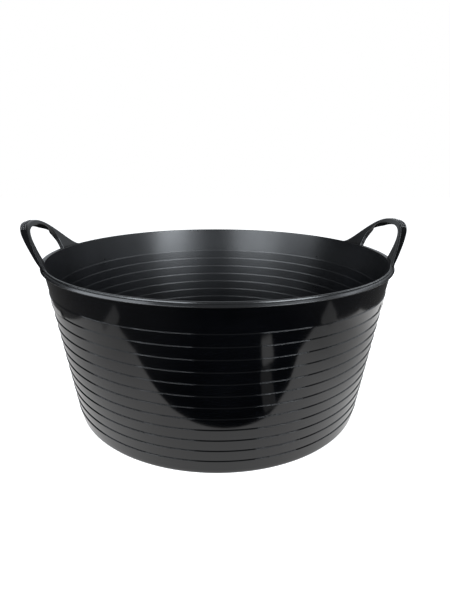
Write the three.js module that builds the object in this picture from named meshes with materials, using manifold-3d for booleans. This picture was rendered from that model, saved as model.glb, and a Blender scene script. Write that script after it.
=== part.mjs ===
// A round flexible mixing tub: a stepped, tapered wall on a flat base, a plain collar, a turned-out
// lip, and two strap handles that flex at their roots. Millimetres, +Z up, origin under the base's
// centre, handles on the X axis. The tub is one moulding; each mesh is one zone of it.
import * as THREE from 'three';
import Module from 'manifold-3d';
import { mergeVertices } from 'three/addons/utils/BufferGeometryUtils.js';

// Driving dimensions
const height = 230;            // floor line to the rim's crest
const crestRadius = 250;       // outside of the wall at the crest
const lipRadius = 253.5;       // outside of the turned-out lip
const lipDrop = 5.4;           // from the crest to the lip's lower edge
const wall = 3;
const floorThickness = 3.6;
const floorRise = 2.4;         // recess under the floor, inside the foot
const footRadius = 210.2;      // outside of the flat resting ring
const footWidth = 6.2;
const footRound = 8;           // rounding where the foot meets the wall
const floorCorner = 8;         // height of the sloped corner between floor and wall, inside
const ledgeCount = 12;
const topLedgeHeight = 193.5;
const bottomLedgeHeight = 21.4;
const topLedgeRadius = 245.5;
const bottomLedgeRadius = 221.1;
const ledgeDepth = 1;          // how far each band's top edge stands out
const ledgeChamfer = 0.8;
const crestChamfer = 1.2;
const lipChamfer = 1;
const lipTopDrop = 1.7;        // from the crest to the lip's top, where it leaves the wall
const padProud = 1.2;          // raised pad on the top band, under each handle
const padMargin = 1.7;         // from the pad to the ledges above and below it
const padSteps = 12;
const gap = 0.3;               // between neighbouring zones
const turns = 60;              // sides of every turned ring

// Handles, in rim distance s, height h above the crest and outward reach r
const handleHeight = 50.2;
const handleReach = 101.5;     // half the span where the roots run out into the rim
const outlinePower = 2.35;     // fullness of the outer outline at the crown
const outlineFlare = 1.74;     // how softly it runs out into the rim
const openingHalf = 53;
const openingHeight = 41.8;
const openingPower = 2.9;      // squareness of the opening's arch
const lean = Math.tan(22.3 * Math.PI / 180);
const webRadius = crestRadius - wall + 0.4;
const strapInside = wall + gap;
const rootInside = wall - 0.5; // the roots' flanges are one piece with their web
const edgeProud = 1.5;         // how far the web's outer edge stands above the strap
const strapThickness = 3;
const strapCrown = 11.3;       // reach of the strap at the crown, from the web's inner face
const strapRoot = 7;
const strapTaper = [18, 100];  // rim distance over which the reach changes
const linerThickness = 2.4;
const linerShare = 0.8;        // of the strap's reach
const skirtThickness = 2.6;
const skirtDrop = 4.2;         // outer skirt under the crown
const sillEnd = 46;            // land on the rim between the legs, half its length
const sillSteps = 8;

// Stretches of the arch, as t from -1 to 1, and the stations along each
const webEnd = 0.965;
const strapEnd = 0.945;
const linerStart = 0.6;
const rootStart = 0.7;
const skirtEnd = 0.45;
const archStations = 36;
const legStations = 10;
const skirtStations = 20;

// Flexing line of each handle, along Y through both legs
const flexX = 248.6;
const flexZ = height + 14;
const flexRadius = 8.4;
const flexGap = 0.4;

// Grip studs: rows across the strap, ranks along it
const studRadius = 1.1;
const studHeight = 0.8;
const studPitch = 4.6;
const studRanks = 15;
const studRows = [4.7, 7, 9.3];

const wasm = await Module();
wasm.setup();

const tub = new THREE.Group();

const plastic = (color, roughness) => new THREE.MeshStandardMaterial({ color, roughness, metalness: 0 });

function addMesh(name, geometry, material, turned = 0) {
  const mesh = new THREE.Mesh(geometry, material);
  mesh.name = name;
  mesh.rotation.z = turned;
  tub.add(mesh);
}

// Closed profile [radius, height] turned about +Z; it is listed anticlockwise.
function ring(profile) {
  const points = [...profile, profile[0]].map(([r, z]) => new THREE.Vector2(r, z));
  return new THREE.LatheGeometry(points, turns).rotateX(Math.PI / 2);
}

function toSolid(geometry) {
  const bare = geometry.clone();
  bare.deleteAttribute('normal');
  bare.deleteAttribute('uv');
  const merged = mergeVertices(bare, 1e-4);
  return new wasm.Manifold(new wasm.Mesh({
    numProp: 3,
    vertProperties: new Float32Array(merged.attributes.position.array),
    triVerts: new Uint32Array(merged.index.array),
  }));
}

function toGeometry(solid) {
  const { vertProperties, triVerts } = solid.getMesh();
  const geometry = new THREE.BufferGeometry();
  geometry.setAttribute('position', new THREE.BufferAttribute(vertProperties, 3));
  geometry.setIndex(new THREE.BufferAttribute(triVerts, 1));
  geometry.computeVertexNormals();
  return geometry;
}

// A box whose corners (u, v, w), each from 0 to 1, are carried to new places by map.
function warpedBox(nu, nv, nw, map) {
  const geometry = new THREE.BoxGeometry(1, 1, 1, nu, nv, nw);
  const place = geometry.attributes.position;
  for (let i = 0; i < place.count; i++) {
    const p = map(place.getX(i) + 0.5, place.getY(i) + 0.5, place.getZ(i) + 0.5);
    place.setXYZ(i, p.x, p.y, p.z);
  }
  return geometry;
}

// ---- Base, wall, collar and lip ----

const ledgePitch = (topLedgeHeight - bottomLedgeHeight) / (ledgeCount - 1);
const ledgeStep = (topLedgeRadius - bottomLedgeRadius) / (ledgeCount - 1);
const ledge = (k) => ({ z: topLedgeHeight - k * ledgePitch, r: topLedgeRadius - k * ledgeStep });
const lowest = ledge(ledgeCount - 1);
const innerRadius = (z) => {
  const slope = ledgeStep / ledgePitch;
  return topLedgeRadius - ledgeDepth - wall - (topLedgeHeight - z) * slope;
};

function baseFloor() {
  const r = footRadius - footWidth - gap;
  const top = floorRise + floorThickness;
  return new THREE.LatheGeometry([
    new THREE.Vector2(0, floorRise), new THREE.Vector2(r, floorRise),
    new THREE.Vector2(r, top), new THREE.Vector2(0, top),
  ], turns).rotateX(Math.PI / 2);
}

function baseCorner() {
  const top = floorRise + floorThickness;
  const outside = [];
  for (let i = 0; i <= 3; i++) {
    const a = (i / 3) * Math.PI / 2;
    outside.push([footRadius + footRound * Math.sin(a), footRound * (1 - Math.cos(a))]);
  }
  return ring([
    [footRadius - footWidth, 0], ...outside,
    [lowest.r, lowest.z - gap - ledgeChamfer], [lowest.r - ledgeChamfer, lowest.z - gap],
    [innerRadius(lowest.z), lowest.z - gap],
    [innerRadius(top + floorCorner), top + floorCorner],
    [footRadius - footWidth, top],
  ]);
}

// The bands between the lowest and the highest ledge; each band's top edge stands out.
function steppedWall() {
  const outside = [];
  for (let k = ledgeCount - 1; k > 0; k--) {
    const below = ledge(k);
    const above = ledge(k - 1);
    outside.push([below.r - ledgeDepth, below.z], [above.r, above.z - ledgeChamfer]);
  }
  const top = ledge(0);
  return ring([
    [innerRadius(lowest.z), lowest.z], ...outside,
    [top.r - ledgeChamfer, top.z], [innerRadius(top.z), top.z],
  ]);
}

function collar() {
  const bottom = topLedgeHeight + gap;
  return ring([
    [innerRadius(bottom), bottom], [topLedgeRadius - ledgeDepth, bottom],
    [crestRadius - 2 * gap, height - lipDrop], [crestRadius, height - crestChamfer],
    [crestRadius - crestChamfer, height], [crestRadius - wall + crestChamfer, height],
    [crestRadius - wall, height - crestChamfer],
  ]);
}

function rimLip() {
  const inside = crestRadius + gap;
  return ring([
    [inside, height - lipDrop], [lipRadius - lipChamfer, height - lipDrop],
    [lipRadius, height - lipDrop + lipChamfer], [lipRadius - lipChamfer, height - lipTopDrop - lipChamfer],
    [inside + lipChamfer, height - lipTopDrop], [inside, height - lipTopDrop],
  ]);
}

const tubBlack = plastic(0x15161a, 0.3);
const rimBlack = plastic(0x1c1d21, 0.34);
const gripBlack = plastic(0x1a1b1e, 0.5);

addMesh('base_floor', baseFloor(), tubBlack.clone());
addMesh('base_corner', baseCorner(), tubBlack.clone());
addMesh('stepped_wall', steppedWall(), tubBlack.clone());
addMesh('collar', collar(), tubBlack.clone());
addMesh('rim_lip', rimLip(), rimBlack.clone());

// ---- Handles, drawn at +X; the other one is the same, turned by half a turn ----

const onHandle = (s, h, r) => {
  const angle = s / crestRadius;
  const radius = webRadius + h * lean + r;
  return new THREE.Vector3(radius * Math.cos(angle), radius * Math.sin(angle), height + h);
};

// Outer and inner outlines of the arch; t runs from -1 to 1, evenly along the crown.
const crownShare = 0.74;
const outer = (t) => {
  const f = crownShare * t + (1 - crownShare) * Math.sign(t) * Math.abs(t) ** 8;
  const rise = Math.max(0, 1 - Math.abs(f) ** outlinePower) ** outlineFlare;
  return new THREE.Vector2(handleReach * f, handleHeight * rise);
};
const inner = (t) => {
  const a = t * Math.PI / 2;
  const e = 2 / openingPower;
  const s = openingHalf * Math.sign(a) * Math.abs(Math.sin(a)) ** e;
  return new THREE.Vector2(s, openingHeight * Math.max(0, Math.cos(a)) ** e);
};
const strapReach = (s) => {
  const f = THREE.MathUtils.smoothstep(Math.abs(s), ...strapTaper);
  return strapCrown + (strapRoot - strapCrown) * f;
};

// A stretch of the arch from t0 to t1. span(t, length) gives the start and end, in millimetres from
// the opening's edge, and reach(s) gives the inner and outer r.
function archPiece(t0, t1, n, across, span, reach) {
  const map = (u, v, w) => {
    const t = t0 + (t1 - t0) * u;
    const a = inner(t);
    const b = outer(t);
    const length = a.distanceTo(b);
    const [from, to] = span(length);
    const p = a.clone().lerp(b, (from + (to - from) * v) / length);
    const [low, high] = reach(b.x);
    return onHandle(p.x, p.y + gap, low + (high - low) * w);
  };
  return warpedBox(n, across, 1, map);
}

const web = (t0, t1, n) => archPiece(t0, t1, n, 4, (d) => [0, d], () => [0, wall]);
const strapSpan = (d) => [d - edgeProud - strapThickness, d - edgeProud];
const strap = (t0, t1, n) => archPiece(t0, t1, n, 1, strapSpan, (s) => [strapInside, strapReach(s)]);
const liner = (t0, t1, n) => archPiece(t0, t1, n, 1, () => [0, linerThickness],
  (s) => [strapInside, strapReach(s) * linerShare]);
const skirt = (t0, t1, n) => archPiece(t0, t1, n, 1,
  (d) => [strapSpan(d)[0] - skirtDrop, strapSpan(d)[0] - gap],
  (s) => [strapReach(s) - skirtThickness, strapReach(s)]);

function flexBar(radius) {
  return toSolid(new THREE.CylinderGeometry(radius, radius, 2 * handleReach, 32)
    .translate(flexX, 0, flexZ));
}
function above(z) {
  const size = 2 * handleReach;
  return toSolid(new THREE.BoxGeometry(size, size + 20, size).translate(flexX, 0, z + size / 2));
}
const movingSpace = above(flexZ).add(flexBar(flexRadius));
const fixedCut = above(flexZ - flexGap).add(flexBar(flexRadius + flexGap));

function root(side) {
  const ends = side > 0 ? [rootStart, 1] : [-1, -rootStart];
  const rootWeb = toSolid(web(...ends, legStations));
  const rootStrap = toSolid(archPiece(...ends, legStations, 1, strapSpan,
    (s) => [rootInside, strapReach(s)]));
  const rootLiner = toSolid(archPiece(...ends, legStations, 1, () => [0, linerThickness],
    (s) => [rootInside, strapReach(s) * linerShare]));
  return toGeometry(rootWeb.add(rootStrap).add(rootLiner).subtract(fixedCut));
}

function studdedStrap() {
  let solid = toSolid(strap(-strapEnd, strapEnd, archStations)).intersect(movingSpace);
  for (let i = 0; i < studRanks; i++) {
    const t = (i - (studRanks - 1) / 2) * studPitch / (crownShare * handleReach);
    const p = outer(t);
    p.lerp(inner(t), edgeProud / p.distanceTo(inner(t)));
    for (const r of studRows) {
      const stud = new THREE.SphereGeometry(studRadius, 6, 4).scale(1, 1, studHeight / studRadius);
      const place = onHandle(p.x, p.y + gap, r);
      solid = solid.add(toSolid(stud.translate(place.x, place.y, place.z)));
    }
  }
  return toGeometry(solid);
}

const movingPart = (geometry) => toGeometry(toSolid(geometry).intersect(movingSpace));

// A shallow raised pad on the top band, under the handle
function pad() {
  const halfAngle = padSteps * Math.PI / turns;
  const bottom = ledge(1);
  return warpedBox(padSteps, 1, 1, (u, v, w) => {
    const angle = (u * 2 - 1) * halfAngle;
    const z = bottom.z + padMargin + (ledgePitch - 2 * padMargin) * v;
    const f = (z - bottom.z) / ledgePitch;
    const face = bottom.r - ledgeDepth + (ledgeStep + ledgeDepth) * f;
    const radius = face + gap + padProud * w;
    return new THREE.Vector3(radius * Math.cos(angle), radius * Math.sin(angle), z);
  });
}

// The land that fills the rim's groove between the legs
function sill() {
  const halfAngle = sillEnd / crestRadius;
  return warpedBox(sillSteps, 1, 1, (u, v, w) => {
    const angle = (u * 2 - 1) * halfAngle;
    const radius = crestRadius + gap + (lipRadius - crestRadius - 2 * gap) * w;
    const z = height - (lipTopDrop - gap) * (1 - v);
    return new THREE.Vector3(radius * Math.cos(angle), radius * Math.sin(angle), z);
  });
}

const handles = [['right', 0, 'front', 'back'], ['left', Math.PI, 'back', 'front']];
for (const [side, turned, near, far] of handles) {
  addMesh(`${side}_pad`, pad(), tubBlack.clone(), turned);
  addMesh(`${side}_sill`, sill(), rimBlack.clone(), turned);
  addMesh(`${side}_root_${near}`, root(-1), rimBlack.clone(), turned);
  addMesh(`${side}_root_${far}`, root(1), rimBlack.clone(), turned);
  addMesh(`${side}_handle_web`, movingPart(web(-webEnd, webEnd, archStations)), gripBlack.clone(), turned);
  addMesh(`${side}_grip_strap`, studdedStrap(), gripBlack.clone(), turned);
  const nearLiner = liner(-webEnd, -linerStart, legStations);
  const farLiner = liner(linerStart, webEnd, legStations);
  addMesh(`${side}_liner_${near}`, movingPart(nearLiner), gripBlack.clone(), turned);
  addMesh(`${side}_liner_${far}`, movingPart(farLiner), gripBlack.clone(), turned);
  addMesh(`${side}_crown_skirt`, skirt(-skirtEnd, skirtEnd, skirtStations), gripBlack.clone(), turned);
}

export default tub;
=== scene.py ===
# Round black mixing tub: moulded shell, pads, sills and two strap handles, with a small studio
import math

import bpy
import bmesh
from mathutils import Matrix, Vector


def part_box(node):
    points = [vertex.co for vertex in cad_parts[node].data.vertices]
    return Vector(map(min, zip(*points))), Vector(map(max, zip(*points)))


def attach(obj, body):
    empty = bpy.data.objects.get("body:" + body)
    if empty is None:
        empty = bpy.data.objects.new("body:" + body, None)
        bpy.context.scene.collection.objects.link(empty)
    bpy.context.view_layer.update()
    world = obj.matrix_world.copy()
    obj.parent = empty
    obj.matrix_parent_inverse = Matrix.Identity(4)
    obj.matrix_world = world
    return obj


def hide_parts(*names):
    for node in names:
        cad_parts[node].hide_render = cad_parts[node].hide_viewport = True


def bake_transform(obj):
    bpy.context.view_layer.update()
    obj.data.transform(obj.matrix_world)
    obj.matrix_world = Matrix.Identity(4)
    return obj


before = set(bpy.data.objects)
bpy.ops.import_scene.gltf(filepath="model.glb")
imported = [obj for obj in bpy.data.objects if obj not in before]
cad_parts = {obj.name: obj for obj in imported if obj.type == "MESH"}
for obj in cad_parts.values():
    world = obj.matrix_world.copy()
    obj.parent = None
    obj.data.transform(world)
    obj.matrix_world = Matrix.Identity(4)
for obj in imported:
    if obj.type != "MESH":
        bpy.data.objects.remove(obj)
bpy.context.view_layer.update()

mm = 0.001
print("frame loaded:", len(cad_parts), "nodes")

# sizes read from the frame
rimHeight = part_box("collar")[1].z
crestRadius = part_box("collar")[1].x
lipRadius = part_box("rim_lip")[1].x
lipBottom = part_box("rim_lip")[0].z
topLedge = (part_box("stepped_wall")[1].x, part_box("stepped_wall")[1].z)
bottomLedge = (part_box("base_corner")[1].x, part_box("stepped_wall")[0].z)
floorUnder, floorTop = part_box("base_floor")[0].z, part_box("base_floor")[1].z
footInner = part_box("base_floor")[1].x


def linkMesh(name, verts, faces, materials, slots=None):
    mesh = bpy.data.meshes.new(name)
    mesh.from_pydata([tuple(v) for v in verts], [], faces)
    for m in materials:
        mesh.materials.append(m)
    if slots:
        mesh.polygons.foreach_set("material_index", slots)
    bm = bmesh.new()
    bm.from_mesh(mesh)
    bmesh.ops.recalc_face_normals(bm, faces=bm.faces)
    bm.to_mesh(mesh)
    bm.free()
    mesh.shade_smooth()
    piece = bpy.data.objects.new(name, mesh)
    bpy.context.scene.collection.objects.link(piece)
    return piece


# finishes, from glossy wall to the painted shade in the handle's hollow
plasticNodes = {
    "ior": 1.5,
    "patchSpan": (0.40, 0.72),   # where scuffs start and are full
    "roughSpan": (0.3, 0.7),
    "waveDistance": 2 * mm,
    "grainDistance": 0.2 * mm,
}
outerPlastic = {
    "color": (0.0003, 0.0004, 0.0006),
    "worn": (0.0009, 0.0010, 0.0014),
    "roughness": (0.06, 0.11),
    "patchScale": 9.0,
    "grainScale": 420.0,
    "grainBump": 0.0,
    "waveScale": 7.0,
    "waveBump": 0.025,
    "specular": 0.5,
}
innerPlastic = {
    "color": (0.0012, 0.0014, 0.0020),
    "worn": (0.0040, 0.0044, 0.0060),
    "roughness": (0.27, 0.38),
    "patchScale": 7.0,
    "grainScale": 300.0,
    "grainBump": 0.05,
    "waveScale": 6.0,
    "waveBump": 0.10,
    "specular": 0.5,
}
rimPlastic = dict(outerPlastic, roughness=(0.18, 0.28), worn=(0.0040, 0.0040, 0.0044), grainBump=0.02)
gripPlastic = dict(outerPlastic, color=(0.0012, 0.0012, 0.0014), worn=(0.0040, 0.0040, 0.0044),
                   roughness=(0.24, 0.36), grainBump=0.08)
strapPlastic = dict(gripPlastic, roughness=(0.40, 0.52), grainBump=0.15, specular=0.07)
# studs: real glossy black plastic with real reflections, plus a lighter base colour (0.03 against 0.0012) as
# a painted glint
studPaintedGlintPlastic = dict(gripPlastic, color=(0.03, 0.03, 0.032), worn=(0.04, 0.04, 0.042), roughness=(0.14, 0.20),
                   grainBump=0.0, specular=1.0)
# painted shade: the black plastic's own colour, made dull and barely reflecting so the skirt faces inside the
# handle's hollow look shaded by the strap
hollowPaintedShadePlastic = dict(outerPlastic, roughness=(0.85, 0.95), specular=0.1)


def plastic(name, look):
    mat = bpy.data.materials.new(name)
    mat.use_nodes = True
    nodes, links = mat.node_tree.nodes, mat.node_tree.links
    shader = nodes["Principled BSDF"]
    shader.inputs["IOR"].default_value = plasticNodes["ior"]
    shader.inputs["Specular IOR Level"].default_value = look["specular"]
    place = nodes.new("ShaderNodeTexCoord")

    def noise(scale, detail, rough):
        n = nodes.new("ShaderNodeTexNoise")
        n.inputs["Scale"].default_value = scale
        n.inputs["Detail"].default_value = detail
        n.inputs["Roughness"].default_value = rough
        links.new(place.outputs["Object"], n.inputs["Vector"])
        return n.outputs["Fac"]

    patches = noise(look["patchScale"], 5, 0.6)
    color = nodes.new("ShaderNodeValToRGB")
    shades = (look["color"], look["worn"])
    for mark, at, shade in zip(color.color_ramp.elements, plasticNodes["patchSpan"], shades):
        mark.position = at
        mark.color = (*shade, 1)
    links.new(patches, color.inputs["Fac"])
    links.new(color.outputs["Color"], shader.inputs["Base Color"])
    rough = nodes.new("ShaderNodeMapRange")
    rough.inputs["From Min"].default_value, rough.inputs["From Max"].default_value = plasticNodes["roughSpan"]
    rough.inputs["To Min"].default_value, rough.inputs["To Max"].default_value = look["roughness"]
    links.new(patches, rough.inputs["Value"])
    links.new(rough.outputs["Result"], shader.inputs["Roughness"])

    def bump(scale, detail, rough, strength, distance):
        b = nodes.new("ShaderNodeBump")
        b.inputs["Strength"].default_value = strength
        b.inputs["Distance"].default_value = distance
        links.new(noise(scale, detail, rough), b.inputs["Height"])
        return b

    wave = bump(look["waveScale"], 1, 0.4, look["waveBump"], plasticNodes["waveDistance"])
    grain = bump(look["grainScale"], 3, 0.55, look["grainBump"], plasticNodes["grainDistance"])
    links.new(wave.outputs["Normal"], grain.inputs["Normal"])
    links.new(grain.outputs["Normal"], shader.inputs["Normal"])
    return mat


glossOuter = plastic("tub_outside", outerPlastic)
satinInner = plastic("tub_inside", innerPlastic)
glossRim = plastic("rim_edge", rimPlastic)
satinGrip = plastic("handle_web", gripPlastic)
strapTexture = plastic("handle_grip", strapPlastic)
studPaintedGlint = plastic("grip_stud", studPaintedGlintPlastic)
paintedShadeHollow = plastic("handle_hollow_painted_shade", hollowPaintedShadePlastic)
print("finishes ready")

# the shell: underside, foot, stepped wall, collar, lip, crest, inside wall and floor in one skin
shell = {
    "segments": 288,
    "arcSteps": 4,
    "ledges": 12,
    "ledgeDepth": 1.0 * mm,
    "ledgeCorner": 0.6 * mm,
    "ledgeLift": 0.1 * mm,       # rise of the ledge towards the wall
    "ledgeRoot": 0.2 * mm,
    "wall": 3.0 * mm,
    "innerStep": 0.52 * mm,
    "innerSoft": 1.0 * mm,       # half the height of each step inside
    "innerDrop": 5.5 * mm,       # the steps inside sit below the ledges outside
    "footRound": 10.0 * mm,
    "footEdge": 216.7 * mm,      # where the lowest band would meet the ground
    "footStep": 0.8 * mm,        # slope between the recessed floor and the foot ring
    "floorRound": 11.0 * mm,
    "crestDrop": 2.0 * mm,       # from the crest to the groove above the lip
    "lipSlope": 1.5 * mm,        # how much the lip's face leans back
    "lipRound": 0.6 * mm,
    "crestRound": 1.2 * mm,
    "crestInside": 1.0 * mm,
    "gateRadius": 5.0 * mm,
    "gateHeight": 0.8 * mm,
}


def fillet(path, steps):
    points = []
    for i, (r, z, radius) in enumerate(path):
        here = Vector((r, z))
        if radius <= 0 or i in (0, len(path) - 1):
            points.append(here)
            continue
        before = Vector(path[i - 1][:2]) - here
        after = Vector(path[i + 1][:2]) - here
        back = min(radius / math.tan(before.angle(after) / 2), before.length * 0.45, after.length * 0.45)
        start = here + before.normalized() * back
        end = here + after.normalized() * back
        support = back * 0.5
        if before.length > back * 3:
            points.append(start + before.normalized() * support)
        for j in range(steps + 1):
            t = j / steps
            points.append(start.lerp(here, t).lerp(here.lerp(end, t), t))
        if after.length > back * 3:
            points.append(end + after.normalized() * support)
    return points


def ledgeAt(k):
    f = k / (shell["ledges"] - 1)
    return topLedge[0] + (bottomLedge[0] - topLedge[0]) * f, topLedge[1] + (bottomLedge[1] - topLedge[1]) * f


def outsidePath():
    corner, depth = shell["ledgeCorner"], shell["ledgeDepth"]
    gate, rise, step = shell["gateRadius"], shell["gateHeight"], shell["footStep"]
    path = [(0, floorUnder - rise, 0), (gate, floorUnder - rise, rise / 2),
            (gate + rise, floorUnder, rise / 2),
            (footInner, floorUnder, step), (footInner + step, 0, step),
            (shell["footEdge"], 0, shell["footRound"])]
    for k in reversed(range(shell["ledges"])):
        r, z = ledgeAt(k)
        path += [(r, z, corner), (r - depth, z + shell["ledgeLift"], shell["ledgeRoot"])]
    groove, soft = rimHeight - shell["crestDrop"], shell["lipRound"]
    path += [(crestRadius - soft, lipBottom, soft),
             (lipRadius - 0.5 * mm, lipBottom, 0.4 * mm),
             (lipRadius, lipBottom + soft, soft),
             (lipRadius - shell["lipSlope"], groove + 0.1 * mm, 0.5 * mm),
             (crestRadius + 0.3 * mm, groove, 0.2 * mm),
             (crestRadius - 0.1 * mm, rimHeight, shell["crestRound"])]
    return path


def innerRadius(z):
    slope = (topLedge[0] - bottomLedge[0]) / (topLedge[1] - bottomLedge[1])
    return topLedge[0] - shell["ledgeDepth"] - shell["wall"] - (topLedge[1] - z) * slope


def insidePath():
    step, soft = shell["innerStep"], shell["innerSoft"]
    path = [(crestRadius - shell["wall"] + 0.3 * mm, rimHeight, shell["crestInside"])]
    for k in range(shell["ledges"]):
        z = ledgeAt(k)[1] - shell["innerDrop"]
        r = innerRadius(z)
        path += [(r + step / 2, z + soft, soft), (r - step / 2, z - soft, soft)]
    path += [(innerRadius(floorTop), floorTop, shell["floorRound"]), (0, floorTop, 0)]
    return path


def lathe(name, points, segments, materials, slotOf):
    rings, verts, faces, slots = [], [], [], []
    for p in points:
        start = len(verts)
        if p.x < 1e-6:
            verts.append((0, 0, p.y))
            rings.append([start] * segments)
            continue
        for i in range(segments):
            a = 2 * math.pi * i / segments
            verts.append((p.x * math.cos(a), p.x * math.sin(a), p.y))
        rings.append(list(range(start, start + segments)))
    for j in range(len(rings) - 1):
        low, high = rings[j], rings[j + 1]
        for i in range(segments):
            k = (i + 1) % segments
            face = [low[i], low[k], high[k], high[i]]
            faces.append(tuple(dict.fromkeys(face)))
            slots.append(slotOf(j))
    return linkMesh(name, verts, faces, materials, slots)


def makeShell():
    outside = outsidePath()
    inside = insidePath()
    points = fillet(outside + inside, shell["arcSteps"])
    top = max(range(len(points)), key=lambda j: points[j].y)
    lipStart = next(j for j, p in enumerate(points) if p.y > lipBottom - 0.4 * mm)

    def slotOf(j):
        if j < lipStart:
            return 0
        return 1 if j < top + shell["arcSteps"] + 3 else 2

    piece = lathe("tub_shell", points, shell["segments"], [glossOuter, glossRim, satinInner], slotOf)
    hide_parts("base_floor", "base_corner", "stepped_wall", "collar", "rim_lip")
    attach(piece, "tub")
    return piece


makeShell()
print("shell made")

# pads under the handles: the collar's slope carried down over the top band
pad = {
    "halfAngle": 36,
    "steps": 48,
    "below": 0.2 * mm,           # how far its foot stands above the second ledge
    "buried": 1 * mm,            # how far it reaches into the wall
    "topProud": 0.25 * mm,
}


def makePad(side, turned):
    (topR, topZ), (lowR, lowZ) = ledgeAt(0), ledgeAt(1)
    verts, faces = [], []
    inner, wall = lowR - shell["ledgeDepth"] - pad["buried"], topR - shell["ledgeDepth"]
    outline = [(inner, lowZ + pad["below"]), (lowR + 0.1 * mm, lowZ + pad["below"]),
               (lowR + 0.5 * mm, lowZ + 0.7 * mm), (wall + pad["topProud"], topZ - 0.2 * mm),
               (wall - 0.2 * mm, topZ + 0.1 * mm), (wall - 2 * mm, topZ)]
    count = len(outline)
    for i in range(pad["steps"] + 1):
        f = i / pad["steps"] * 2 - 1
        a = turned + math.radians(pad["halfAngle"]) * f
        end = min(1.0, (1 - abs(f)) * pad["steps"] / 2)
        for r, z in outline:
            reach = inner + (r - inner) * end
            verts.append((reach * math.cos(a), reach * math.sin(a), z))
    for i in range(pad["steps"]):
        for j in range(count):
            k = (j + 1) % count
            faces.append((i * count + j, i * count + k, (i + 1) * count + k, (i + 1) * count + j))
    faces += [tuple(range(count)), tuple(pad["steps"] * count + j for j in range(count))]
    piece = linkMesh(f"{side}_pad_face", verts, faces, [glossOuter])
    piece.data.set_sharp_from_angle(angle=math.radians(35))
    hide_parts(f"{side}_pad")
    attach(piece, "tub")


# handles, in rim distance s, height h above the crest and outward reach r
handle = {
    "height": 50.2 * mm,
    "reach": 101.5 * mm,
    "outlinePower": 2.35,
    "outlineFlare": 1.74,
    "crownShare": 0.74,
    "openingHalf": 53 * mm,
    "openingHeight": 43.4 * mm,
    "openingPower": 2.9,
    "lean": math.tan(math.radians(22.3)),
    "webThickness": 3.0 * mm,
    "webRound": 1.0 * mm,
    "webSplits": 8,
    "stations": 96,
    "root": 4 * mm,              # how far the roots reach down into the rim
    "rootSink": 0.1,             # how far they go down for each unit along the arch
    "edgeProud": 1.5 * mm,       # the web's edge above the strap
    "edgeLoss": 0.8,             # how much of it is gone at the rim
    "edgeSpan": (50 * mm, 88 * mm),
    "strapThickness": 3.0 * mm,
    "strapCrown": 11.6 * mm,
    "strapRoot": 6.8 * mm,
    "strapEnd": 5.2 * mm,        # at the rim, where the strap runs into the lip
    "strapSpan": (36 * mm, 92 * mm),
    "strapEndSpan": (0.92, 1.01),
    "strapEndDrop": 0.4 * mm,
    "strapEndFrom": 85 * mm,
    "strapRound": 1.0 * mm,
    "linerThickness": 2.4 * mm,
    "linerShare": 0.96,
    "linerTop": 0.50,
    "linerFade": 0.26,
    "linerSteps": 36,
    "ribProud": 0.5 * mm,
    "ribHalf": 0.8 * mm,
    "skirtSteps": 48,
    "skirtFade": 0.40,
    "skirtDrop": 5.0 * mm,
    "skirtThickness": 2.4 * mm,
    "skirtEnd": 0.78,
    "bendLow": 2 * mm,           # the flexing zone, above the crest
    "bendHigh": 28 * mm,
}
webRadius = crestRadius - handle["webThickness"] + 0.5 * mm


def smooth(x, low, high):
    t = min(1.0, max(0.0, (x - low) / (high - low)))
    return t * t * (3 - 2 * t)


def onHandle(s, h, r, turned):
    angle = turned + s / crestRadius
    radius = webRadius + max(h, 0) * handle["lean"] + r
    return Vector((radius * math.cos(angle), radius * math.sin(angle), rimHeight + h))


def archOuter(t):
    crown = handle["crownShare"]
    f = crown * t + (1 - crown) * math.copysign(abs(t) ** 8, t)
    rise = max(0.0, 1 - abs(f) ** handle["outlinePower"]) ** handle["outlineFlare"]
    return Vector((handle["reach"] * f, handle["height"] * rise))


def archInner(t):
    e = 2 / handle["openingPower"]
    a = t * math.pi / 2
    s = handle["openingHalf"] * math.copysign(abs(math.sin(a)) ** e, t)
    return Vector((s, handle["openingHeight"] * max(0.0, math.cos(a)) ** e))


def strapReach(s):
    f = smooth(abs(s), *handle["strapSpan"])
    return handle["strapCrown"] + (handle["strapRoot"] - handle["strapCrown"]) * f


def edgeDrop(s):
    return handle["edgeProud"] * (1 - handle["edgeLoss"] * smooth(abs(s), *handle["edgeSpan"]))


def held(t):
    return max(-1.0, min(1.0, t))


def archLength(t):
    return (archOuter(held(t)) - archInner(held(t))).length


def onArch(t, v, r, turned, drop=0.0):
    a, b = archInner(held(t)), archOuter(held(t))
    p = a.lerp(b, v / (b - a).length)
    sunk = (abs(t) - abs(held(t))) * handle["rootSink"]
    return onHandle(p.x, p.y - sunk - drop, r, turned)


# like onArch, but measured square to the arch's outer edge
def underCrown(t, depth, r, turned, drop=0.0):
    along = (archOuter(t + 0.01) - archOuter(t - 0.01)).normalized()
    p = archOuter(t) + Vector((along.y, -along.x)) * depth
    return onHandle(p.x, p.y - drop, r, turned)


def roundBox(v0, v1, r0, r1, radius, splits=1):
    radius = min(radius, abs(v1 - v0) * 0.45, abs(r1 - r0) * 0.45)
    corners = [(v0, r0, 1, 1, 180), (v1, r0, -1, 1, 270), (v1, r1, -1, -1, 0), (v0, r1, 1, -1, 90)]
    points = []
    for n, (v, r, dv, dr, start) in enumerate(corners):
        for j in range(4):
            a = math.radians(start + 30 * j)
            points.append((v + dv * radius + radius * math.cos(a), r + dr * radius + radius * math.sin(a)))
        if n % 2 == 0 and splits > 1:
            last = points[-1]
            far = corners[n + 1]
            target = (far[0] + far[2] * radius, last[1])
            for j in range(1, splits):
                points.append((last[0] + (target[0] - last[0]) * j / splits, last[1]))
    return points


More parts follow.
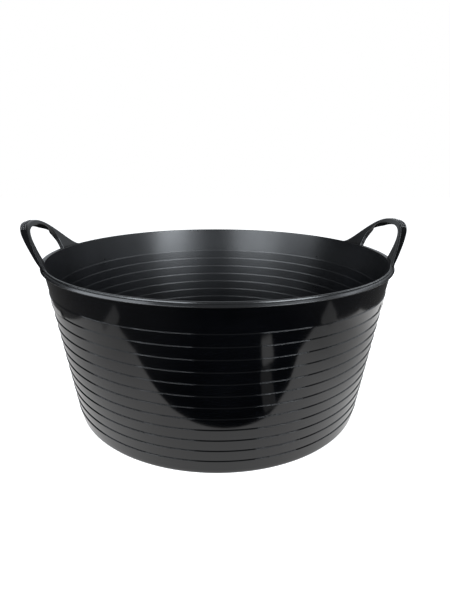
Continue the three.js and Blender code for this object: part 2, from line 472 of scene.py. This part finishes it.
def sweep(name, stations, sectionAt, turned, material, dropAt=None, place=onArch):
    verts, faces = [], []
    count = len(sectionAt(stations[0]))
    for t in stations:
        drop = dropAt(t) if dropAt else 0.0
        verts += [place(t, v, r, turned, drop) for v, r in sectionAt(t)]
    for j in range(len(stations) - 1):
        for i in range(count):
            k = (i + 1) % count
            faces.append((j * count + i, j * count + k, (j + 1) * count + k, (j + 1) * count + i))
    last = (len(stations) - 1) * count
    faces += [tuple(range(count)), tuple(last + i for i in range(count))]
    piece = linkMesh(name, verts, faces, [material])
    piece.data.set_sharp_from_angle(angle=math.radians(50))
    return piece


def spread(low, high, count):
    return [low + (high - low) * i / count for i in range(count + 1)]


def crossJoint(piece, side, *nodes):
    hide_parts(*nodes)
    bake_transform(piece)


def makeHandle(side, turned, near, far):
    past = handle["root"] / handle["rootSink"]
    ends = 1 + past
    wall = handle["webThickness"]
    stations = [-ends, -1 - past / 3] + spread(-1, 1, handle["stations"]) + [1 + past / 3, ends]

    def webSection(t):
        return roundBox(0, archLength(t), 0, wall, handle["webRound"], handle["webSplits"])

    web = sweep(f"{side}_web", stations, webSection, turned, satinGrip)
    crossJoint(web, side, f"{side}_root_{near}", f"{side}_root_{far}", f"{side}_handle_web")

    def strapSection(t):
        s = archOuter(held(t)).x
        top = archLength(t) - edgeDrop(s)
        reach = strapReach(s) + (handle["strapEnd"] - strapReach(s)) * smooth(abs(t), *handle["strapEndSpan"])
        return roundBox(top - handle["strapThickness"], top, wall - 1 * mm, reach, handle["strapRound"])

    def strapDrop(t):
        s = archOuter(held(t)).x
        return handle["strapEndDrop"] * smooth(abs(s), handle["strapEndFrom"], handle["reach"])

    strap = sweep(f"{side}_strap", stations, strapSection, turned, strapTexture, strapDrop)
    crossJoint(strap, side, f"{side}_grip_strap")

    for sign, end in ((-1, near), (1, far)):
        def linerSection(t):
            s = archOuter(held(t)).x
            fade = smooth(abs(t), handle["linerTop"], handle["linerTop"] + handle["linerFade"])
            reach = wall + 0.3 * mm + (strapReach(s) * handle["linerShare"] - wall) * fade
            low, thick = wall - 1 * mm, handle["linerThickness"]
            mid = (low + reach) / 2
            half, proud = handle["ribHalf"], handle["ribProud"] * fade
            return [(0.6 * mm, low), (thick, low), (thick, reach - 0.5 * mm), (thick - 0.6 * mm, reach),
                    (0.6 * mm, reach), (0, reach - 0.6 * mm), (0, mid + half * 1.6),
                    (-proud * 0.7, mid + half), (-proud, mid + half * 0.4), (-proud, mid - half * 0.4),
                    (-proud * 0.7, mid - half), (0, mid - half * 1.6), (0, low + 0.4 * mm)]

        span = spread(handle["linerTop"], 1, handle["linerSteps"]) + [1 + past / 3, ends]
        liner = sweep(f"{side}_liner_face_{end}", [sign * t for t in span], linerSection, turned, satinGrip)
        crossJoint(liner, side, f"{side}_liner_{end}")

    def skirtSection(t):
        fade = 1 - smooth(abs(t), handle["skirtFade"], handle["skirtEnd"])
        reach = strapReach(archOuter(t).x)
        top = handle["edgeProud"] + handle["strapThickness"] / 2
        bottom = handle["edgeProud"] + handle["strapThickness"] + handle["skirtDrop"] * fade
        edge = reach - handle["skirtThickness"]
        return [(top, wall - 0.5 * mm), (top, reach - 0.15 * mm), (bottom - 0.8 * mm, reach - 0.15 * mm),
                (bottom - 0.2 * mm, reach - 0.5 * mm), (bottom, reach - 0.9 * mm),
                (bottom - 0.1 * mm, edge + 0.6 * mm), ((bottom + top) / 2, (edge + wall) / 2 + 1 * mm)]

    steps = handle["skirtSteps"]
    span = spread(-handle["skirtEnd"], handle["skirtEnd"], steps)
    skirt = sweep(f"{side}_skirt", span, skirtSection, turned, satinGrip, place=underCrown)
    skirt.data.materials.append(paintedShadeHollow)
    corners = len(skirtSection(0))
    for face in skirt.data.polygons:    # the two faces that look into the hollow get the painted shade finish
        if face.index < steps * corners and face.index % corners in (corners - 1, corners - 2):
            face.material_index = 1
    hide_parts(f"{side}_crown_skirt")
    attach(skirt, f"{side}_handle")


# the land that fills the rim's groove between the legs
sill = {
    "steps": 40,
    "past": 1.5 * mm,            # how far it runs under each leg
    "top": -0.25 * mm,
    "bottom": -3.5 * mm,
    "inner": 1.5 * mm,
    "outer": 6.3 * mm,
    "round": 0.9 * mm,
}


def makeSill(side, turned):
    verts, faces = [], []
    half = handle["openingHalf"] + sill["past"]
    section = roundBox(sill["bottom"], sill["top"], sill["inner"], sill["outer"], sill["round"])
    count = len(section)
    for i in range(sill["steps"] + 1):
        s = half * (2 * i / sill["steps"] - 1)
        verts += [onHandle(s, h, r, turned) for h, r in section]
    for i in range(sill["steps"]):
        for j in range(count):
            k = (j + 1) % count
            faces.append((i * count + j, i * count + k, (i + 1) * count + k, (i + 1) * count + j))
    faces += [tuple(range(count)), tuple(sill["steps"] * count + j for j in range(count))]
    piece = linkMesh(f"{side}_sill_face", verts, faces, [glossRim])
    piece.data.set_sharp_from_angle(angle=math.radians(50))
    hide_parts(f"{side}_sill")
    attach(piece, "tub")


# grip studs on the crown: short rounded bars across the strap
stud = {
    "ranks": 15,
    "pitch": 4.6 * mm,
    "rows": (4.7 * mm, 7.0 * mm, 9.3 * mm),
    "halfAcross": 1.1 * mm,
    "halfAlong": 1.3 * mm,
    "height": 1.1 * mm,
    "sunk": 0.2 * mm,
    "around": 14,
    "rings": 4,
}


def makeStuds(side, turned):
    verts, faces = [], []
    for i in range(stud["ranks"]):
        t = (i - (stud["ranks"] - 1) / 2) * stud["pitch"] / (handle["crownShare"] * handle["reach"])

        def onStrap(t, r):
            return onArch(t, archLength(t) - handle["edgeProud"], r, turned)

        for r in stud["rows"]:
            here = onStrap(t, r)
            along = (onStrap(t + 0.01, r) - here).normalized()
            across = (onStrap(t, r + mm) - here).normalized()
            up = across.cross(along).normalized()
            if up.z < 0:
                up = -up
            start = len(verts)
            for ring in range(stud["rings"]):
                f = ring / stud["rings"] * math.pi / 2
                for j in range(stud["around"]):
                    a = 2 * math.pi * j / stud["around"]
                    verts.append(here + across * (math.cos(a) * math.cos(f) * stud["halfAcross"])
                                 + along * (math.sin(a) * math.cos(f) * stud["halfAlong"])
                                 + up * (math.sin(f) * stud["height"] - stud["sunk"]))
            verts.append(here + up * (stud["height"] - stud["sunk"]))
            n = stud["around"]
            for ring in range(stud["rings"] - 1):
                for j in range(n):
                    k = (j + 1) % n
                    a, b = start + ring * n, start + (ring + 1) * n
                    faces.append((a + j, a + k, b + k, b + j))
            last = start + (stud["rings"] - 1) * n
            faces += [(last + j, last + (j + 1) % n, len(verts) - 1) for j in range(n)]
            faces.append(tuple(start + j for j in range(n)))
    piece = linkMesh(f"{side}_grip_studs", verts, faces, [studPaintedGlint])
    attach(piece, f"{side}_handle")


for side, turned, near, far in (("right", 0.0, "front", "back"), ("left", math.pi, "back", "front")):
    makePad(side, turned)
    makeSill(side, turned)
    makeHandle(side, turned, near, far)
    makeStuds(side, turned)
print("handles made")

# studio: white floor, soft boxes, and white cards that only reflections see
studio = {
    "floorSize": 8.0,
    "floorColor": (0.9, 0.9, 0.9),
    "floorLift": 0.8,
    # edge of the white card under the tub, which the dark ground surrounds
    "cardOutline": ((-0.485, 1.6), (-0.485, -0.10), (-0.40, -0.26), (-0.28, -0.285), (-0.12, -0.275),
                    (0.09, -0.275), (0.16, -0.292), (0.23, -0.325), (0.36, -0.325), (0.44, -0.27),
                    (0.56, -0.08), (0.56, 1.6)),
    "cardDepth": 0.4 * mm,
    # brightness of the card from its left end to its right end, over x in metres
    "cardSpan": (-0.5, 0.6),
    "cardGlow": ((0.0, 0.60), (0.16, 0.66), (0.30, 1.0), (0.66, 0.95), (0.74, 0.66), (0.84, 0.66),
                 (0.92, 1.0)),
    # small bright things on the dark ground: x, y, width, depth, brightness
    "spotSkew": 0.25,
    "spotCorners": ((-0.5, -0.4), (-0.4, -0.5), (0.4, -0.5), (0.5, -0.4), (0.5, 0.4), (0.4, 0.5), (-0.4, 0.5),
                    (-0.5, 0.4)),
    "spots": ((0.132, -0.384, 0.040, 0.056, 0.85), (0.104, -0.316, 0.034, 0.070, 0.22),
              (-0.44, -0.25, 0.06, 0.12, 0.4), (0.43, -0.30, 0.10, 0.08, 0.4)),
    # brightness of the dark ground from left to right, over x in metres
    "groundSpan": (-1.2, 1.2),
    "groundFront": -1.2,
    "groundBack": 1.6,
    "groundGlow": ((0.0, 0.10), (0.30, 0.085), (0.40, 0.05), (0.455, 0.01), (0.60, 0.01), (0.70, 0.07),
                   (1.0, 0.10)),
    # brightness of the surroundings over the sine of the elevation
    "skySpan": (-0.4, 1.0),
    "sky": ((0.0, 0.03), (0.27, 0.04), (0.34, 0.25), (0.42, 0.65), (0.56, 0.80), (0.70, 0.50), (0.80, 0.28),
            (1.0, 0.2)),
    "skyColor": (0.90, 0.95, 1.0),
    "darkSide": 0.8,             # how much darker the left is
    "darkToward": (-0.9, 0.1, 0),
    "darkSpan": (0.46, 0.70),
    "boxColor": (0.88, 0.94, 1.0),
    "boxAim": (0, 0, 0.15),
    # name, place, size in metres and power in watts
    "boxes": (("soft_box_right", (0.84, -1.16, 0.54), (0.75, 0.46), 17),
              ("soft_box_left", (-0.84, -1.16, 0.54), (0.9, 0.46), 12.5),
              ("panel_left", (-1.35, -0.50, 0.72), (1.3, 0.7), 14),
              ("panel_right", (1.35, 0.05, 0.85), (1.1, 0.5), 6),
              ("soft_box_top", (0.0, 0.1, 1.9), (1.4, 1.4), 3)),
}


def rampOf(nodes, stops):
    ramp = nodes.new("ShaderNodeValToRGB")
    marks = ramp.color_ramp.elements
    while len(marks) < len(stops):
        marks.new(0.5)
    for mark, (at, value) in zip(marks, stops):
        mark.position = at
        mark.color = (value, value, value, 1)
    return ramp


def glow(name, strength):
    mat = bpy.data.materials.new(name)
    mat.use_nodes = True
    nodes, links = mat.node_tree.nodes, mat.node_tree.links
    nodes.remove(nodes["Principled BSDF"])
    light = nodes.new("ShaderNodeEmission")
    light.inputs["Strength"].default_value = strength
    links.new(light.outputs["Emission"], nodes["Material Output"].inputs["Surface"])
    return mat


def glowAcross(name, span, stops):
    mat = glow(name, 1.0)
    nodes, links = mat.node_tree.nodes, mat.node_tree.links
    place = nodes.new("ShaderNodeTexCoord")
    split = nodes.new("ShaderNodeSeparateXYZ")
    links.new(place.outputs["Object"], split.inputs["Vector"])
    along = nodes.new("ShaderNodeMapRange")
    along.inputs["From Min"].default_value, along.inputs["From Max"].default_value = span
    links.new(split.outputs["X"], along.inputs["Value"])
    ramp = rampOf(nodes, stops)
    links.new(along.outputs["Result"], ramp.inputs["Fac"])
    links.new(ramp.outputs["Color"], nodes["Emission"].inputs["Color"])
    return mat


def onlyInReflections(piece):
    piece.visible_camera = False
    piece.visible_diffuse = False
    piece.visible_shadow = False
    piece.visible_transmission = False
    piece.visible_volume_scatter = False


def makeFloor():
    half = studio["floorSize"] / 2
    verts = [(-half, -half, 0), (half, -half, 0), (half, half, 0), (-half, half, 0)]
    mat = bpy.data.materials.new("floor_paint")
    mat.use_nodes = True
    paint = mat.node_tree.nodes["Principled BSDF"]
    paint.inputs["Base Color"].default_value = (*studio["floorColor"], 1)
    paint.inputs["Roughness"].default_value = 0.9
    paint.inputs["Specular IOR Level"].default_value = 0.0
    paint.inputs["Emission Color"].default_value = (1, 1, 1, 1)
    paint.inputs["Emission Strength"].default_value = studio["floorLift"]
    floor = linkMesh("floor", [(x, y, z - 0.2 * mm) for x, y, z in verts], [(0, 1, 2, 3)], [mat])
    floor.visible_glossy = False


def makeCards():
    verts = [(x, y, -studio["cardDepth"]) for x, y in studio["cardOutline"]]
    cardLook = glowAcross("card_glow", studio["cardSpan"], studio["cardGlow"])
    cards = [linkMesh("reflection_card", verts, [tuple(range(len(verts)))], [cardLook])]
    groundLook = glowAcross("ground_glow", studio["groundSpan"], studio["groundGlow"])
    (left, right), front, back = studio["groundSpan"], studio["groundFront"], studio["groundBack"]
    under = -studio["cardDepth"] - 0.2 * mm
    ground = [(left, front, under), (right, front, under), (right, back, under), (left, back, under)]
    cards.append(linkMesh("reflection_ground", ground, [(0, 1, 2, 3)], [groundLook]))
    over = 0.1 * mm - studio["cardDepth"]
    for n, (x, y, width, depth, bright) in enumerate(studio["spots"]):
        skew = math.copysign(studio["spotSkew"] * depth, x)
        corners = [(x + width * a - skew * b, y + depth * b, over) for a, b in studio["spotCorners"]]
        look = glow(f"spot_glow_{n}", bright)
        cards.append(linkMesh(f"reflection_spot_{n}", corners, [tuple(range(len(corners)))], [look]))
    for card in cards:
        onlyInReflections(card)


def softBox(name, at, size, power):
    data = bpy.data.lights.new(name, "AREA")
    data.shape = "RECTANGLE"
    data.size, data.size_y = size
    data.energy = power
    data.color = studio["boxColor"]
    box = bpy.data.objects.new(name, data)
    bpy.context.scene.collection.objects.link(box)
    box.location = at
    box.rotation_euler = (Vector(studio["boxAim"]) - Vector(at)).to_track_quat("-Z", "Y").to_euler()
    box.visible_camera = False


def makeWorld():
    world = bpy.data.worlds.new("studio")
    bpy.context.scene.world = world
    world.use_nodes = True
    nodes, links = world.node_tree.nodes, world.node_tree.links
    nodes.clear()
    place = nodes.new("ShaderNodeTexCoord")
    split = nodes.new("ShaderNodeSeparateXYZ")
    links.new(place.outputs["Generated"], split.inputs["Vector"])
    height = nodes.new("ShaderNodeMapRange")
    height.inputs["From Min"].default_value, height.inputs["From Max"].default_value = studio["skySpan"]
    links.new(split.outputs["Z"], height.inputs["Value"])
    ramp = rampOf(nodes, studio["sky"])
    links.new(height.outputs["Result"], ramp.inputs["Fac"])
    toLeft = nodes.new("ShaderNodeVectorMath")
    toLeft.operation = "DOT_PRODUCT"
    toLeft.inputs[1].default_value = studio["darkToward"]
    links.new(place.outputs["Generated"], toLeft.inputs[0])
    dim = nodes.new("ShaderNodeMapRange")
    dim.interpolation_type = "SMOOTHSTEP"
    dim.inputs["From Min"].default_value, dim.inputs["From Max"].default_value = studio["darkSpan"]
    dim.inputs["To Min"].default_value, dim.inputs["To Max"].default_value = 1, 1 - studio["darkSide"]
    links.new(toLeft.outputs["Value"], dim.inputs["Value"])
    bright = nodes.new("ShaderNodeMath")
    bright.operation = "MULTIPLY"
    links.new(ramp.outputs["Color"], bright.inputs[0])
    links.new(dim.outputs["Result"], bright.inputs[1])
    seen = nodes.new("ShaderNodeBackground")
    links.new(bright.outputs["Value"], seen.inputs["Strength"])
    seen.inputs["Color"].default_value = (*studio["skyColor"], 1)
    white = nodes.new("ShaderNodeBackground")
    white.inputs["Color"].default_value = (1, 1, 1, 1)
    path = nodes.new("ShaderNodeLightPath")
    mix = nodes.new("ShaderNodeMixShader")
    links.new(path.outputs["Is Camera Ray"], mix.inputs["Fac"])
    links.new(seen.outputs["Background"], mix.inputs[1])
    links.new(white.outputs["Background"], mix.inputs[2])
    out = nodes.new("ShaderNodeOutputWorld")
    links.new(mix.outputs["Shader"], out.inputs["Surface"])


makeFloor()
makeCards()
makeWorld()
for name, at, size, power in studio["boxes"]:
    softBox(name, at, size, power)
print("lights set")

# camera: eye level above the rim, looking down a little
camera = {
    "back": 0.6758,
    "height": 0.3637,
    "aside": -0.0012,
    "turned": -3.9,
    "pitch": 17.16,
    "yaw": 1.01,
    "roll": 0.34,
    "lens": 36.0,
    "sensor": 36.0,
    "clip": (0.01, 50),
}


def makeCamera():
    pitch, yaw, roll = (math.radians(camera[k]) for k in ("pitch", "yaw", "roll"))
    turned = Matrix.Rotation(math.radians(camera["turned"]), 3, "Z")
    forward = Vector((math.sin(yaw) * math.cos(pitch), math.cos(yaw) * math.cos(pitch), -math.sin(pitch)))
    side = Vector((math.cos(yaw), -math.sin(yaw), 0))
    up = side.cross(forward)
    side, up = side * math.cos(roll) + up * math.sin(roll), up * math.cos(roll) - side * math.sin(roll)
    side, up, forward = turned @ side, turned @ up, turned @ forward
    data = bpy.data.cameras.new("camera")
    data.sensor_fit = "HORIZONTAL"
    data.sensor_width = camera["sensor"]
    data.lens = camera["lens"]
    data.clip_start, data.clip_end = camera["clip"]
    eye = bpy.data.objects.new("camera", data)
    bpy.context.scene.collection.objects.link(eye)
    place = Matrix((side, up, -forward)).transposed().to_4x4()
    place.translation = turned @ Vector((camera["aside"], -camera["back"], camera["height"]))
    eye.matrix_world = place
    bpy.context.scene.camera = eye


makeCamera()
bpy.context.scene.view_settings.view_transform = "Standard"
print("camera placed")
